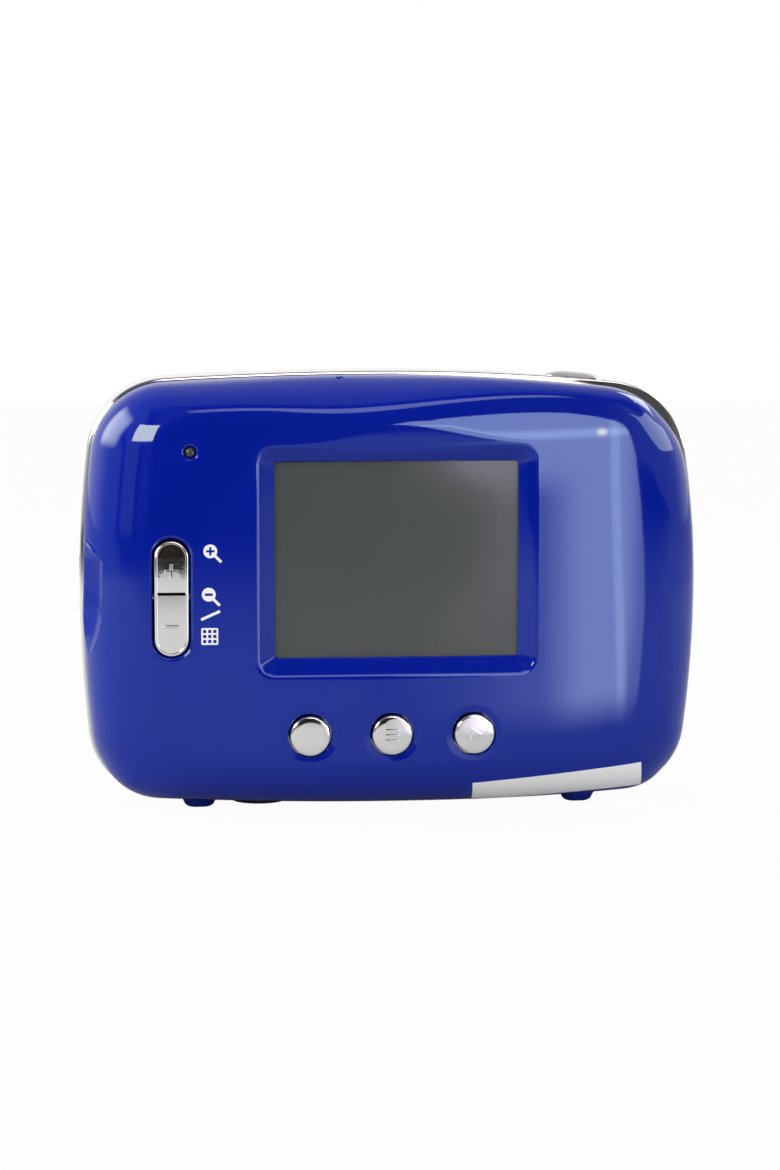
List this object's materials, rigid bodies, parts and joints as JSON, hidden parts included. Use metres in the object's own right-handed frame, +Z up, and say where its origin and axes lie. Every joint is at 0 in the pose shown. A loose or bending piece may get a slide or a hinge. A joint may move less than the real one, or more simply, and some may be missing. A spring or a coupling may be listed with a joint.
{
  "type": "kids digital camera",
  "caption": "Palm-sized toy digital camera with a rounded glossy blue case, chrome edge band, rear screen, round keys, zoom rocker, shutter and power keys, battery door and tripod bush.",
  "frame": {"origin": "on the surface the camera stands on, under the middle of its bounding box", "axes": "+Z up, +Y towards the lens side, +X to the right of someone looking at the screen"},
  "size_m": [0.0902, 0.0338, 0.063],
  "materials": {
    "blue_gloss": "moulded plastic with a deep polished gloss",
    "blue_rubber": "soft moulded rubber, satin",
    "chrome": "bright plated plastic",
    "steel": "plain nickel-plated steel",
    "brass": "plain sheet brass",
    "black_plastic": "fine matt moulding",
    "white_plastic": "matt white moulding",
    "clear_plastic": "clear polished acrylic",
    "screen_glass": "dark display glass, switched off",
    "lens_glass": "coated optical glass",
    "circuit_board": "green solder mask",
    "cell_wrap": "plain shrink sleeve"
  },
  "bodies": {
    "camera_body": {"rear_shell": "blue_gloss", "front_shell": "blue_gloss", "trim_band": "chrome", "lens_ring": "chrome", "flash_reflector": "chrome", "case_screw_1": "steel", "case_screw_2": "steel", "case_screw_3": "steel", "case_screw_4": "steel", "board_screw_1": "steel", "board_screw_2": "steel", "board_screw_3": "steel", "sensor_screw_1": "steel", "sensor_screw_2": "steel", "rocker_pin": "steel", "battery_door_pin": "steel", "sd_socket": "steel", "usb_socket": "steel", "microphone": "steel", "battery_plus_contact": "steel", "battery_minus_contact": "steel", "buzzer": "brass", "left_switch": "black_plastic", "menu_switch": "black_plastic", "playback_switch": "black_plastic", "zoom_in_switch": "black_plastic", "zoom_out_switch": "black_plastic", "power_switch": "black_plastic", "shutter_switch": "black_plastic", "main_chip": "black_plastic", "tripod_insert": "black_plastic", "image_sensor": "black_plastic", "lens_holder": "black_plastic", "lens_barrel": "black_plastic", "flash_capacitor": "black_plastic", "battery_cradle": "black_plastic", "lcd_frame": "white_plastic", "lcd_window": "clear_plastic", "status_led": "clear_plastic", "lens_window": "clear_plastic", "flash_window": "clear_plastic", "lcd_panel": "screen_glass", "front_lens": "lens_glass", "flash_tube": "lens_glass", "main_board": "circuit_board", "top_board": "circuit_board", "sensor_board": "circuit_board", "battery_cell_1": "cell_wrap", "battery_cell_2": "cell_wrap"},
    "left_button": {"left_button": "chrome"},
    "menu_button": {"menu_button": "chrome"},
    "playback_button": {"playback_button": "chrome"},
    "zoom_rocker": {"zoom_rocker": "chrome"},
    "power_button": {"power_button": "chrome"},
    "shutter_button": {"shutter_button": "chrome"},
    "battery_door": {"battery_door": "chrome", "battery_bridge": "steel"},
    "usb_flap": {"usb_flap": "blue_rubber"}
  },
  "joints": [
    {"name": "left_press", "type": "slide", "parent": "camera_body", "child": "left_button", "axis": [0, 1, 0], "range_m": [0, 0.0005], "stiffness_N_per_m": 1500},
    {"name": "menu_press", "type": "slide", "parent": "camera_body", "child": "menu_button", "axis": [0, 1, 0], "range_m": [0, 0.0005], "stiffness_N_per_m": 1500},
    {"name": "playback_press", "type": "slide", "parent": "camera_body", "child": "playback_button", "axis": [0, 1, 0], "range_m": [0, 0.0005], "stiffness_N_per_m": 1500},
    {"name": "power_press", "type": "slide", "parent": "camera_body", "child": "power_button", "axis": [0, 0, -1], "range_m": [0, 0.0006], "stiffness_N_per_m": 1500},
    {"name": "shutter_press", "type": "slide", "parent": "camera_body", "child": "shutter_button", "axis": [0, 0, -1], "range_m": [0, 0.0008], "stiffness_N_per_m": 1500},
    {"name": "zoom_tip", "type": "hinge", "parent": "camera_body", "child": "zoom_rocker", "pos_m": [-0.0322, -0.013, 0.0312], "axis": [1, 0, 0], "range_deg": [-3, 3], "stiffness_Nm_per_rad": 0.25},
    {"name": "battery_door_swing", "type": "hinge", "parent": "camera_body", "child": "battery_door", "pos_m": [0.014, 0.00145, 0.00165], "axis": [0, 1, 0], "range_deg": [0, 95]},
    {"name": "usb_flap_swing", "type": "hinge", "parent": "camera_body", "child": "usb_flap", "pos_m": [-0.04405, 0.0033, 0.032], "axis": [0, 0, -1], "range_deg": [0, 110], "stiffness_Nm_per_rad": 0.002}
  ]
}
